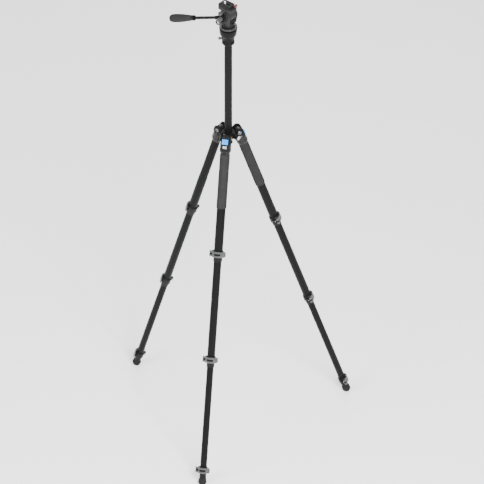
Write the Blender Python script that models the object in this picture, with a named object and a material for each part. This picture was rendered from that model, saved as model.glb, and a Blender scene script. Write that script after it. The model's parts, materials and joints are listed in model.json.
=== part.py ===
"""Four-section flip-lock tripod with a fluid pan head and a pan handle.

Units are metres, +Z is up.  The origin is on the floor, in the middle of the
tripod's footprint box.  The front leg points to -Y, the other two to +X and -X
and back.  Each leg is built in its own frame: X points outwards, square to the
leg, Y runs round the column, Z runs up the leg, and the origin is on the pivot.
"""

from math import cos, pi, radians, sin, sqrt

import bmesh
import bpy
from mathutils import Matrix, Vector

# ---------------------------------------------------------------- whole stand
COLUMN_Y = 0.0854            # column axis behind the middle of the footprint
GAP = 0.0003                 # clearance between neighbouring pieces
ROUND = 16                   # sides of a turned piece on the legs
FINE = 20                    # sides of a turned piece on the head

# ----------------------------------------------------------------------- legs
LEGS = (("front", 270.0, True), ("right", 30.0, True), ("left", 150.0, False))
SPLAY = radians(18.6)        # leg from the vertical
PIVOT_RADIUS = 0.0283        # pivot from the column axis
PIVOT_HEIGHT = 0.970
TUBE_RADII = (0.0125, 0.0110, 0.0095, 0.0080)
TUBE_WALL = 0.0012
UPPER_TUBE_TOP = -0.0244     # heights below are along the leg, from the pivot
GRIP_TOP = -0.0484
GRIP_BOTTOM = -0.2064
GRIP_RADIUS = 0.01425
NECKED_RADIUS = 0.0120       # upper tube where a grip can sit
LOCK_HEIGHTS = (-0.3402, -0.6509, -0.9774)
TUBE_OVERLAP = 0.045         # length of a section left inside the one above
BOTTOM_TUBE_LENGTH = 0.345
BOTTOM_TUBE_END = -1.0050

# ------------------------------------------------- leg locks (collar and lever)
COLLAR_TOP = 0.0092
COLLAR_SKIRT = -0.0105       # the collar narrows here to a sleeve on the next section
COLLAR_BOTTOM = -0.0225
COLLAR_STEP = -0.0092        # where the bore narrows to the next section
COLLAR_WALL = 0.0026         # outside of the collar, beyond the tube
BAND_TOP = 0.0080
BAND_BOTTOM = -0.0080
BAND_INNER = 0.0036          # beyond the tube
BAND_OUTER = 0.0060
PIN_OFFSET = 0.0086          # hinge pin beyond the tube
PIN_ANGLE = -82.0            # degrees round the tube from the outer face
PIN_RADIUS = 0.00155
LOBE_RADIUS = 0.0040
LUG_RADIUS = 0.0033
LUG_HALF_HEIGHT = 0.0029
SLOT_HALF_HEIGHT = 0.00325
WINDOW_HALF_WIDTH = 0.0090   # window in the middle of the band
NOTCH_OFFSET = 0.0024        # the hinge lug's notch starts here, beyond the tube
BOSS_ANGLE = -116.0          # boss that takes the pinch screw
BOSS_REACH = 0.0088
BOSS_HALF_WIDTH = 0.0034
BOSS_HALF_HEIGHT = 0.0058

# ----------------------------------------------------------------------- feet
FOOT_TOP = -1.0003
FOOT_NECK_RADIUS = 0.0096
FOOT_NECK_END = -1.0022
FOOT_RADIUS = 0.0118
FOOT_FLAT_RADIUS = 0.0045    # worn flat that stands on the floor
FOOT_CENTRE_HEIGHT = sqrt(FOOT_RADIUS ** 2 - FOOT_FLAT_RADIUS ** 2)
FOOT_CENTRE = -(PIVOT_HEIGHT - FOOT_CENTRE_HEIGHT) / cos(SPLAY)

# --------------------------------------------------------------------- spider
HUB_RADIUS = 0.0250
HUB_BOTTOM = 0.9586
HUB_TOP = 0.9735
SLOT_FLOOR = 0.0186          # bottom of the slot that a tongue turns in
SLOT_HALF_WIDTH = 0.0105
CHEEK_HALF_WIDTH = 0.0150
EAR_RADIUS = 0.0132
TONGUE_RADIUS = 0.0088
TONGUE_HALF_WIDTH = 0.0102
LATCH_BOTTOM = -0.0185
BOLT_RADIUS = 0.0030
BOLT_HEAD_RADIUS = 0.0058
BOLT_HEAD_THICKNESS = 0.0019
KNOB_AZIMUTH = 330.0
KNOB_HEIGHT = 0.9665

# --------------------------------------------------------------------- column
COLUMN_RADIUS = 0.0110
COLUMN_BORE = 0.0095
COLUMN_BOTTOM = 0.9380
COLUMN_TOP = 1.2790
COLLAR_BASE = 1.2690         # underside of the collar on top of the column
HEAD_SEAT = 1.2847           # where the head sits on that collar

# ----------------------------------------------------------------------- head
HEAD_YAW = radians(-28.8)    # lens direction, local +X of the head
FLANGE_RADIUS = 0.0256
FLANGE_TOP = 1.3300
TURNTABLE_RADIUS = 0.0185
TILT_HEIGHT = 1.3690
DRUM_RADIUS = 0.0195
DRUM_HALF_WIDTH = 0.0122
YOKE_INNER = 0.0126
YOKE_OUTER = 0.0170
YOKE_NEAR_RADIUS = 0.0182    # the clamp passes over this arm
YOKE_FAR_RADIUS = 0.0208
AXLE_RADIUS = 0.0090
ROSETTE_RADIUS = 0.0130
ROSETTE_FACE = -0.0215       # where the handle meets the drum's rosette
CLAMP_BOTTOM = 1.3888
CLAMP_TOP = 1.3996
CLAMP_BACK = -0.0205         # ends of the clamp along the lens direction
CLAMP_FRONT = 0.0240
CLAMP_CENTRE = -0.0054       # across the head, along the tilt axis
CLAMP_HALF_WIDTH = 0.0155
LEDGE_START = 0.0164         # lowered end of the clamp, under the button
LEDGE_TOP = 1.3974
CHANNEL_HALF_WIDTH = 0.0110
CHANNEL_FLOOR = 1.3955
PLATE_MIDDLE = -0.0022       # along the lens direction
PLATE_HALF_LENGTH = 0.0183
SLOT_MIDDLE = -0.0005
PLATE_HALF_WIDTH = 0.0150
PLATE_TOP = 1.4060
PLATE_BOTTOM = 1.4000
SCREW_PLACE = -0.0072        # camera screw along the plate's slot
HANDLE_SLOPE = radians(24.8)
HANDLE_LINE = -0.0283        # rod's centre line, across the head
HANDLE_RISE = 0.0030         # rod's centre line above the rosette's centre
SOCKET_RADIUS = 0.0056
SOCKET_END = 0.0240
ROD_RADIUS = 0.0043
GRIP_START = 0.1085
GRIP_END = 0.2045
ROSETTE_BACK = -0.0300
WING_HUB_RADIUS = 0.0065
CLAMP_KNOB_HEIGHT = 1.3916
BUTTON_PLACE = (0.0212, 0.0060, 0.0)
PAN_LOCK_HEIGHT = 1.2892
PAN_LOCK_AZIMUTH = 228.0     # from the lens direction
WING_TURN = radians(-49)     # how the wing happens to stand

# ------------------------------------------------------------------ materials
FINISHES = {
    "tube_black": ((0.022, 0.022, 0.024), 0.38, 0.4),
    "cast_black": ((0.030, 0.030, 0.031), 0.45, 0.3),
    "lock_black": ((0.020, 0.020, 0.021), 0.50, 0.0),
    "gunmetal": ((0.300, 0.300, 0.305), 0.36, 0.9),
    "bright_steel": ((0.620, 0.620, 0.630), 0.25, 1.0),
    "blue_anodised": ((0.080, 0.380, 0.850), 0.30, 0.6),
    "red_anodised": ((0.550, 0.050, 0.070), 0.30, 0.6),
    "foam": ((0.075, 0.075, 0.077), 0.95, 0.0),
    "rubber": ((0.035, 0.035, 0.036), 0.85, 0.0),
    "head_grey": ((0.100, 0.100, 0.104), 0.42, 0.4),
    "knob_grey": ((0.200, 0.200, 0.205), 0.45, 0.4),
}


def finish(name):
    """Return the named material, made on its first use."""
    if name in bpy.data.materials:
        return bpy.data.materials[name]
    colour, roughness, metallic = FINISHES[name]
    material = bpy.data.materials.new(name)
    material.use_nodes = True
    shader = material.node_tree.nodes["Principled BSDF"]
    shader.inputs["Base Color"].default_value = (*colour, 1.0)
    shader.inputs["Roughness"].default_value = roughness
    shader.inputs["Metallic"].default_value = metallic
    return material


# ---------------------------------------------------------------- small shapes
def polar(radius, degrees):
    """Point at a distance and an angle from the middle."""
    return (radius * cos(radians(degrees)), radius * sin(radians(degrees)))


def arc(centre, radius, start, end, steps):
    """Points on an arc, angles in degrees, both ends included."""
    points = []
    for index in range(steps + 1):
        x, y = polar(radius, start + (end - start) * index / steps)
        points.append((centre[0] + x, centre[1] + y))
    return points


def solid(mesh_data):
    """Close a bmesh into an object with its faces pointing out."""
    bmesh.ops.recalc_face_normals(mesh_data, faces=mesh_data.faces)
    mesh = bpy.data.meshes.new("work")
    mesh_data.to_mesh(mesh)
    mesh_data.free()
    work = bpy.data.objects.new("work", mesh)
    bpy.context.collection.objects.link(work)
    return work


def turned(profile, sides, axis=(0, 0, 1), centre=(0, 0, 0)):
    """Turn a closed profile of (radius, height) points about an axis.

    A point on the axis level with its neighbour gives a flat end in one face.
    """
    mesh_data = bmesh.new()
    frame = Vector(axis).to_track_quat("Z", "Y").to_matrix()
    rings = []
    for radius, height in profile:
        ring = []
        for index in range(sides if radius > 0 else 1):
            angle = 2 * pi * index / sides
            point = Vector((radius * cos(angle), radius * sin(angle), height))
            ring.append(mesh_data.verts.new(Vector(centre) + frame @ point))
        rings.append(ring)
    for index, ring in enumerate(rings):
        ahead = (index + 1) % len(rings)
        level = profile[index][1] == profile[ahead][1]
        join_rings(mesh_data, ring, rings[ahead], level)
    loose = [point for point in mesh_data.verts if not point.link_faces]
    bmesh.ops.delete(mesh_data, geom=loose, context="VERTS")
    return solid(mesh_data)


def join_rings(mesh_data, ring, following, level):
    """Fill between two rings of a turned shape; one may be a single point."""
    sides = max(len(ring), len(following))
    if sides == 1:
        return
    if min(len(ring), len(following)) == 1 and level:
        mesh_data.faces.new(max(ring, following, key=len))
        return
    for side in range(sides):
        ahead = (side + 1) % sides
        corners = [ring[side % len(ring)], ring[ahead % len(ring)]]
        corners += [following[ahead % len(following)], following[side % len(following)]]
        mesh_data.faces.new(list(dict.fromkeys(corners)))


def rod(radius, low, high, axis=(0, 0, 1), centre=(0, 0, 0), sides=ROUND):
    """Plain cylinder from low to high along an axis."""
    profile = [(0, low), (radius, low), (radius, high), (0, high)]
    return turned(profile, sides, axis, centre)


def pipe(outer, inner, low, high, sides=ROUND):
    """Plain tube standing on the local Z axis."""
    profile = [(outer, low), (outer, high), (inner, high), (inner, low)]
    return turned(profile, sides)


def prism(outline, low, high, upright=False):
    """Extrude an outline along Z, or an (x, z) outline along Y if upright."""
    mesh_data = bmesh.new()
    loops = []
    for level in (low, high):
        loop = []
        for first, second in outline:
            place = (first, level, second) if upright else (first, second, level)
            loop.append(mesh_data.verts.new(place))
        loops.append(loop)
    mesh_data.faces.new(loops[0])
    mesh_data.faces.new(loops[1])
    for index in range(len(outline)):
        ahead = (index + 1) % len(outline)
        mesh_data.faces.new((loops[0][index], loops[0][ahead], loops[1][ahead], loops[1][index]))
    return solid(mesh_data)


def block(low, high):
    """Box between two corners."""
    outline = [(low[0], low[1]), (high[0], low[1]), (high[0], high[1]), (low[0], high[1])]
    return prism(outline, low[2], high[2])


def rounded_outline(half_x, half_y, corner, steps=3, centre=(0.0, 0.0)):
    """Rectangle with round corners."""
    points = []
    for sign_x, sign_y, start in ((1, 1, 0), (-1, 1, 90), (-1, -1, 180), (1, -1, 270)):
        middle = (centre[0] + sign_x * (half_x - corner), centre[1] + sign_y * (half_y - corner))
        points += arc(middle, corner, start, start + 90, steps)
    return points


def boolean(work, tool, operation):
    """Join or cut two solids for good, and drop the tool."""
    modifier = work.modifiers.new(operation, "BOOLEAN")
    modifier.operation = operation
    modifier.solver = "EXACT"
    modifier.object = tool
    bpy.context.view_layer.update()
    depsgraph = bpy.context.evaluated_depsgraph_get()
    mesh = bpy.data.meshes.new_from_object(work.evaluated_get(depsgraph))
    work.modifiers.clear()
    work.data = mesh
    bpy.data.objects.remove(tool)
    return work


def joined(work, *tools):
    """Union of solids."""
    for tool in tools:
        boolean(work, tool, "UNION")
    return work


def cut(work, *tools):
    """First solid without the others."""
    for tool in tools:
        boolean(work, tool, "DIFFERENCE")
    return work


def part(work, name, material, parent, location=(0, 0, 0)):
    """Name a finished solid, give it its finish and put it in its place."""
    work.name = name
    work.data.name = name
    work.data.materials.clear()
    work.data.materials.append(finish(material))
    work.data.shade_smooth()
    work.data.set_sharp_from_angle(angle=radians(35))
    work.parent = parent
    work.location = location
    return work


def empty(name, parent, location=(0, 0, 0), rotation=None):
    """Frame that pieces hang from."""
    frame = bpy.data.objects.new(name, None)
    bpy.context.collection.objects.link(frame)
    frame.parent = parent
    frame.location = location
    if rotation is not None:
        frame.rotation_euler = rotation.to_euler()
    return frame


# ----------------------------------------------------------------------- spider
def make_spider(stand):
    """Casting with a hub round the column and a pair of ears for each leg."""
    work = rod(HUB_RADIUS, HUB_BOTTOM, HUB_TOP, sides=FINE)
    for _, azimuth, _ in LEGS:
        joined(work, turn(ear_block(), azimuth))
    boss = rod(0.0072, 0.0150, 0.0262, (1, 0, 0), (0, 0, KNOB_HEIGHT))
    joined(work, turn(boss, KNOB_AZIMUTH))
    for _, azimuth, _ in LEGS:
        slot = block((SLOT_FLOOR, -SLOT_HALF_WIDTH, HUB_BOTTOM - 0.01),
                     (0.060, SLOT_HALF_WIDTH, HUB_TOP + 0.01))
        hole = rod(BOLT_RADIUS + GAP, -0.03, 0.03, (0, 1, 0), (PIVOT_RADIUS, 0, PIVOT_HEIGHT), 12)
        cut(work, turn(slot, azimuth), turn(hole, azimuth))
    cut(work, rod(COLUMN_RADIUS + GAP, HUB_BOTTOM - 0.01, HUB_TOP + 0.01))
    thread = rod(0.0032, 0.0, 0.040, (1, 0, 0), (0, 0, KNOB_HEIGHT))
    cut(work, turn(thread, KNOB_AZIMUTH))
    part(work, "spider", "cast_black", stand)


def ear_block():
    """Both ears of a leg in one piece, before the slot between them is cut."""
    pivot = (PIVOT_RADIUS, PIVOT_HEIGHT)
    outline = [(0.0125, HUB_TOP - 0.001), (0.0125, HUB_BOTTOM + 0.001)]
    outline += arc(pivot, EAR_RADIUS, -95, 115, 12)
    return prism(outline, -CHEEK_HALF_WIDTH, CHEEK_HALF_WIDTH, upright=True)


def turn(work, degrees):
    """Turn a working solid about the column axis."""
    work.data.transform(Matrix.Rotation(radians(degrees), 4, "Z"))
    return work


def make_column_lock(stand):
    """Knob with its screw, between the front leg and the right leg."""
    azimuth = radians(KNOB_AZIMUTH)
    work = rod(0.0029, 0.0135, 0.0300, (1, 0, 0))
    lobes = []
    for index in range(24):
        radius = 0.0088 if index % 4 < 2 else 0.0076
        lobes.append(polar(radius, 360 * index / 24))
    head = prism(lobes, 0.0268, 0.0400)
    head.data.transform(Matrix.Rotation(radians(90), 4, "Y"))
    joined(work, head)
    work.data.transform(Matrix.Rotation(azimuth, 4, "Z"))
    part(work, "column_lock_knob", "lock_black", stand, (0, 0, KNOB_HEIGHT))


# ------------------------------------------------------------------------- legs
def make_leg(stand, name, azimuth, has_grip):
    """Leg from its pivot down to its foot, in the leg's own frame."""
    around = Matrix.Rotation(radians(azimuth), 4, "Z")
    place = around @ Vector((PIVOT_RADIUS, 0, PIVOT_HEIGHT))
    leg = empty(name + "_leg", stand, place, around @ Matrix.Rotation(-SPLAY, 4, "Y"))
    part(shoulder(), name + "_leg_shoulder", "cast_black", leg)
    part(angle_latch(), name + "_angle_latch", "blue_anodised", leg)
    part(pivot_bolt(), name + "_pivot_bolt", "bright_steel", leg)
    if has_grip:
        grip = pipe(GRIP_RADIUS, NECKED_RADIUS + GAP, GRIP_BOTTOM, GRIP_TOP)
        part(grip, name + "_foam_grip", "foam", leg)
    make_tubes(leg, name)
    for number, height in enumerate(LOCK_HEIGHTS):
        upper, lower = TUBE_RADII[number:number + 2]
        suffix = "_" + str(number + 1)
        collar = lock_collar(upper, lower)
        part(collar, name + "_lock_collar" + suffix, "lock_black", leg, (0, 0, height))
        pin = polar(upper + PIN_OFFSET, PIN_ANGLE)
        lever = lock_lever(upper)
        part(lever, name + "_lock_lever" + suffix, "gunmetal", leg, (*pin, height))
    part(rubber_foot(), name + "_rubber_foot", "rubber", leg)


def shoulder():
    """Tongue that turns between the ears, and the socket for the upper tube."""
    outline = arc((0, 0), TONGUE_RADIUS, 55, 180, 8)
    outline += [(-TONGUE_RADIUS, -0.0230), (0.0108, -0.0230), (0.0108, -0.0008), (0.0085, 0.0030)]
    work = prism(outline, -TONGUE_HALF_WIDTH, TONGUE_HALF_WIDTH, upright=True)
    bore = NECKED_RADIUS + GAP
    top = -EAR_RADIUS - 0.0008
    socket = turned([(0, top), (0.0146, top), (0.0158, top - 0.0030), (0.0158, -0.0290),
                     (0.0163, -0.0370), (0.0161, -0.0400), (0.0150, -0.0426), (0.0134, -0.0430),
                     (0.0134, GRIP_TOP + GAP), (bore, GRIP_TOP + GAP),
                     (bore, UPPER_TUBE_TOP + GAP), (0, UPPER_TUBE_TOP + GAP)], ROUND)
    joined(work, socket)
    pocket = block((0.0108, -TONGUE_HALF_WIDTH, LATCH_BOTTOM - GAP), (0.030, TONGUE_HALF_WIDTH, 0.010))
    cut(work, pocket, rod(BOLT_RADIUS + GAP, -0.02, 0.02, (0, 1, 0), sides=12))
    return work


def angle_latch():
    """Sprung tab that sets how far the leg may open, with a lip to pull it by."""
    outline = [(0.0111, LATCH_BOTTOM), (0.0111, -0.0010), (0.0122, 0.0004), (0.0135, -0.0008),
               (0.0142, -0.0100), (0.0170, -0.0150), (0.0172, LATCH_BOTTOM)]
    return prism(outline, -0.0096, 0.0096, upright=True)


def pivot_bolt():
    """Bolt through both ears and the tongue."""
    inner = CHEEK_HALF_WIDTH + GAP
    outer = inner + BOLT_HEAD_THICKNESS
    profile = [(0, -outer), (BOLT_HEAD_RADIUS, -outer), (BOLT_HEAD_RADIUS, -inner),
               (BOLT_RADIUS, -inner), (BOLT_RADIUS, inner), (BOLT_HEAD_RADIUS, inner),
               (BOLT_HEAD_RADIUS, outer), (0, outer)]
    return turned(profile, 12, (0, 1, 0))


def make_tubes(leg, name):
    """Four telescoping sections; the last one is pushed in."""
    first, second, third, fourth = TUBE_RADII
    bore = second + GAP
    end = LOCK_HEIGHTS[0] + COLLAR_STEP + GAP
    step = GRIP_BOTTOM - 0.0010
    profile = [(first, end), (first, step), (NECKED_RADIUS, step), (NECKED_RADIUS, UPPER_TUBE_TOP),
               (bore, UPPER_TUBE_TOP), (bore, end)]
    part(turned(profile, ROUND), name + "_upper_tube", "tube_black", leg)
    top = LOCK_HEIGHTS[0] + TUBE_OVERLAP
    end = LOCK_HEIGHTS[1] + COLLAR_STEP + GAP
    middle = pipe(second, third + GAP, end, top)
    part(middle, name + "_middle_tube", "tube_black", leg)
    top = LOCK_HEIGHTS[1] + TUBE_OVERLAP
    end = LOCK_HEIGHTS[2] + COLLAR_STEP + GAP
    lower = pipe(third, fourth + GAP, end, top)
    part(lower, name + "_lower_tube", "tube_black", leg)
    top = BOTTOM_TUBE_END + BOTTOM_TUBE_LENGTH
    bottom = pipe(fourth, fourth - TUBE_WALL, BOTTOM_TUBE_END, top)
    part(bottom, name + "_bottom_tube", "tube_black", leg)


def lock_collar(upper, lower):
    """Clamping collar on the end of a section, with the lever's hinge lug."""
    wall = upper + COLLAR_WALL
    wide = upper + GAP
    narrow = lower + GAP
    profile = [(upper + 0.0012, COLLAR_TOP), (wall, COLLAR_TOP - 0.0022), (wall, COLLAR_SKIRT + 0.0012),
               (upper + 0.0002, COLLAR_SKIRT), (lower + 0.0013, COLLAR_BOTTOM), (narrow, COLLAR_BOTTOM),
               (narrow, COLLAR_STEP), (wide, COLLAR_STEP), (wide, COLLAR_TOP)]
    work = turned(profile, ROUND)
    root = upper + 0.0014
    pin = polar(upper + PIN_OFFSET, PIN_ANGLE)
    outline = [polar(root, PIN_ANGLE + 12), polar(root, PIN_ANGLE - 12)]
    outline += arc(pin, LUG_RADIUS, PIN_ANGLE - 90, PIN_ANGLE + 90, 6)
    lug = prism(outline, -LUG_HALF_HEIGHT, LUG_HALF_HEIGHT)
    boss = block((root, -BOSS_HALF_WIDTH, -BOSS_HALF_HEIGHT),
                 (upper + BOSS_REACH, BOSS_HALF_WIDTH, BOSS_HALF_HEIGHT))
    joined(work, lug, turn(boss, BOSS_ANGLE))
    cut(work, rod(PIN_RADIUS + GAP, -0.02, 0.02, centre=(*pin, 0), sides=8))
    return work


def lever_outline(upper):
    """Outline of a lever round the tube, from its hinge to its finger tab."""
    pin = polar(upper + PIN_OFFSET, PIN_ANGLE)
    outline = arc((0, 0), upper + BAND_OUTER, -50, 57, 7)
    outline += [polar(upper + 0.0078, 65), polar(upper + 0.0102, 73), polar(upper + 0.0106, 79)]
    outline += [polar(upper + 0.0084, 80), polar(upper + 0.0054, 75)]
    outline += arc((0, 0), upper + BAND_INNER, 66, -58, 8)
    outline += arc(pin, LOBE_RADIUS, PIN_ANGLE + 211, PIN_ANGLE + 391, 6)
    return outline


def lock_lever(upper):
    """Band lever with a window and a notched hinge, its origin on the pin."""
    work = prism(lever_outline(upper), BAND_BOTTOM, BAND_TOP)
    low = -SLOT_HALF_HEIGHT
    high = SLOT_HALF_HEIGHT
    window = block((0.005, -WINDOW_HALF_WIDTH, low), (0.050, WINDOW_HALF_WIDTH, high))
    notch = block((-0.040, -0.060, low), (0.050, -upper - NOTCH_OFFSET, high))
    cut(work, window, notch)
    pin = polar(upper + PIN_OFFSET, PIN_ANGLE)
    joined(work, rod(PIN_RADIUS, BAND_BOTTOM + 0.001, BAND_TOP - 0.001, centre=(*pin, 0), sides=8))
    work.data.transform(Matrix.Translation((-pin[0], -pin[1], 0)))
    return work


def rubber_foot():
    """Turned rubber foot, worn flat where it stands."""
    bore = TUBE_RADII[3] + GAP
    profile = [(FOOT_NECK_RADIUS, FOOT_TOP), (FOOT_NECK_RADIUS, FOOT_NECK_END)]
    profile.append((0.0112, FOOT_NECK_END - 0.0030))
    for degrees in (18, -8, -34, -60):
        radius, rise = polar(FOOT_RADIUS, degrees)
        profile.append((radius, FOOT_CENTRE + rise))
    profile += [(0, FOOT_CENTRE - FOOT_RADIUS), (0, BOTTOM_TUBE_END - GAP)]
    profile += [(bore, BOTTOM_TUBE_END - GAP), (bore, FOOT_TOP)]
    work = turned(profile, ROUND)
    tip = Matrix.Rotation(SPLAY, 4, "Y")
    floor = block((-0.05, -0.05, -0.10), (0.05, 0.05, -FOOT_CENTRE_HEIGHT))
    floor.data.transform(Matrix.Translation((0, 0, FOOT_CENTRE)) @ tip)
    return cut(work, floor)


# ----------------------------------------------------------------------- column
def make_column(stand):
    """Centre column with its stop cap below and its collar on top."""
    tube = pipe(COLUMN_RADIUS, COLUMN_BORE, COLUMN_BOTTOM, COLUMN_TOP)
    part(tube, "centre_column", "tube_black", stand)
    floor = COLUMN_BOTTOM - GAP
    plug = COLUMN_BORE - GAP
    profile = [(0, floor - 0.0050), (0.0105, floor - 0.0050), (0.0126, floor - 0.0030),
               (0.0126, floor), (plug, floor), (plug, floor + 0.0120), (0, floor + 0.0120)]
    part(turned(profile, ROUND), "column_stop_cap", "lock_black", stand)
    bore = COLUMN_RADIUS + GAP
    profile = [(bore, COLLAR_BASE), (0.0132, COLLAR_BASE), (0.0170, 1.2716), (0.0180, 1.2735),
               (0.0180, 1.2795), (0.0164, HEAD_SEAT), (0, HEAD_SEAT), (0, COLUMN_TOP + GAP),
               (bore, COLUMN_TOP + GAP)]
    part(turned(profile, ROUND), "column_top_collar", "cast_black", stand)


# ------------------------------------------------------------------------- head
def make_head_base(head):
    """Bowl with a wide flange, and the boss of the pan lock."""
    seat = HEAD_SEAT + GAP
    profile = [(0, seat), (0.0155, seat), (0.0160, 1.2860), (0.0160, 1.2955), (0.0178, 1.2975),
               (0.0200, 1.3060), (0.0240, 1.3170), (FLANGE_RADIUS, 1.3210),
               (FLANGE_RADIUS, 1.3280), (0.0245, FLANGE_TOP), (0, FLANGE_TOP)]
    work = turned(profile, FINE)
    away = Vector((*polar(1, PAN_LOCK_AZIMUTH), 0))
    middle = Vector((0, 0, PAN_LOCK_HEIGHT))
    joined(work, rod(0.0038, 0.0120, 0.0185, away, middle, 12))
    cut(work, rod(0.0024, 0.0130, 0.0300, away, middle, 8))
    part(work, "head_base", "head_grey", head)
    profile = [(0, 0.0138), (0.0021, 0.0138), (0.0021, 0.0188), (0.0030, 0.0188),
               (0.0030, 0.0212), (0.0042, 0.0222), (0.0046, 0.0248), (0.0036, 0.0278),
               (0, 0.0284)]
    part(turned(profile, 10, away, middle), "pan_lock_lever", "knob_grey", head)


def make_pan_body(head):
    """Turntable with the yoke that carries the tilt drum."""
    seat = FLANGE_TOP + GAP
    profile = [(0, seat), (TURNTABLE_RADIUS, seat), (TURNTABLE_RADIUS, 1.3430),
               (0.0172, 1.3452), (0, 1.3452)]
    work = turned(profile, FINE)
    for low, high, radius in ((-YOKE_OUTER, -YOKE_INNER, YOKE_NEAR_RADIUS),
                              (YOKE_INNER, YOKE_OUTER, YOKE_FAR_RADIUS)):
        outline = [(-0.0150, 1.3400), (0.0150, 1.3400)]
        outline += arc((0, TILT_HEIGHT), radius, -12, 192, 12)
        joined(work, prism(outline, low, high, upright=True))
    joined(work, block((-0.0140, -0.0150, 1.3402), (0.0140, 0.0150, 1.3475)))
    centre = (0, 0, TILT_HEIGHT)
    cut(work, rod(AXLE_RADIUS + GAP, -0.03, 0.0, (0, 1, 0), centre, 16))
    cut(work, rod(0.0063, 0.0, 0.03, (0, 1, 0), centre, 16))
    part(work, "pan_body", "cast_black", head)


def make_tilt_body(head):
    """Tilt drum with its axle and rosette, and the clamp on top of it."""
    centre = (0, 0, TILT_HEIGHT)
    face = -YOKE_OUTER - GAP
    profile = [(0.0033, -0.0120), (0.0033, ROSETTE_FACE), (ROSETTE_RADIUS, ROSETTE_FACE),
               (ROSETTE_RADIUS, face), (AXLE_RADIUS, face), (AXLE_RADIUS, -DRUM_HALF_WIDTH),
               (DRUM_RADIUS, -DRUM_HALF_WIDTH), (DRUM_RADIUS, DRUM_HALF_WIDTH),
               (0.0060, DRUM_HALF_WIDTH), (0.0060, 0.0168), (0, 0.0168), (0, -0.0120)]
    work = turned(profile, FINE, (0, 1, 0), centre)
    joined(work, block((-0.0120, -0.0120, 1.3800), (0.0120, 0.0105, 1.3905)))
    middle = ((CLAMP_FRONT + CLAMP_BACK) / 2, CLAMP_CENTRE)
    outline = rounded_outline((CLAMP_FRONT - CLAMP_BACK) / 2, CLAMP_HALF_WIDTH, 0.0030, 2, middle)
    joined(work, prism(outline, CLAMP_BOTTOM, CLAMP_TOP))
    half = CHANNEL_HALF_WIDTH
    cut(work, block((-0.03, CLAMP_CENTRE - half, CHANNEL_FLOOR), (0.03, CLAMP_CENTRE + half, 1.42)))
    side = CLAMP_CENTRE - CLAMP_HALF_WIDTH
    knob = (0.0030, 0, CLAMP_KNOB_HEIGHT)
    cut(work, rod(0.0026, side - 0.01, side + 0.0050, (0, 1, 0), knob, 8))
    cut(work, block((LEDGE_START, 0.0010, LEDGE_TOP), (0.03, 0.02, 1.42)))
    cut(work, rod(0.0016, 1.3905, 1.4100, (0, 0, 1), BUTTON_PLACE, 8))
    part(work, "tilt_body", "head_grey", head)


def make_release_button(head):
    """Red button over the clamp's lowered end, on a stem that slides into it."""
    outline = rounded_outline(0.0026, 0.0042, 0.0012, 2, BUTTON_PLACE[:2])
    work = prism(outline, LEDGE_TOP + 0.0023, 1.4058)
    joined(work, rod(0.0013, 1.3930, 1.4010, (0, 0, 1), BUTTON_PLACE, 8))
    part(work, "release_button", "red_anodised", head)


def make_plate(head):
    """Quick-release plate with a slot, and the camera screw in it."""
    middle = (PLATE_MIDDLE, CLAMP_CENTRE)
    outline = rounded_outline(PLATE_HALF_LENGTH, PLATE_HALF_WIDTH, 0.0030, 3, middle)
    work = prism(outline, PLATE_BOTTOM, PLATE_TOP)
    foot = CHANNEL_HALF_WIDTH - GAP
    back = PLATE_MIDDLE - PLATE_HALF_LENGTH + 0.0004
    front = PLATE_MIDDLE + PLATE_HALF_LENGTH - 0.0004
    joined(work, block((back, CLAMP_CENTRE - foot, CHANNEL_FLOOR + GAP),
                       (front, CLAMP_CENTRE + foot, PLATE_BOTTOM + 0.001)))
    low = CHANNEL_FLOOR - 0.001
    middle = (SLOT_MIDDLE, CLAMP_CENTRE)
    cut(work, prism(rounded_outline(0.0135, 0.0034, 0.0033, 3, middle), low, PLATE_TOP + 0.001))
    cut(work, prism(rounded_outline(0.0150, 0.0068, 0.0040, 3, middle), low, 1.4010))
    part(work, "quick_release_plate", "head_grey", head)
    profile = [(0, 1.3965), (0.0062, 1.3965), (0.0062, 1.4005), (0.0030, 1.4005),
               (0.0030, 1.4100), (0.0025, 1.4106), (0, 1.4106)]
    screw = turned(profile, 12, centre=(SCREW_PLACE, CLAMP_CENTRE, 0))
    part(screw, "camera_screw", "bright_steel", head)


def make_clamp_knob(head):
    """Small knob that tightens the clamp on the plate."""
    side = CLAMP_CENTRE - CLAMP_HALF_WIDTH
    profile = [(0, side + 0.0046), (0.0023, side + 0.0046), (0.0023, side - 0.0105),
               (0.0050, side - 0.0108), (0.0060, side - 0.0125), (0.0060, side - 0.0195),
               (0.0050, side - 0.0212), (0.0020, side - 0.0214), (0.0020, side - 0.0236),
               (0, side - 0.0236)]
    work = turned(profile, 12, (0, 1, 0), (0.0030, 0, CLAMP_KNOB_HEIGHT))
    part(work, "clamp_knob", "knob_grey", head)


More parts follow.
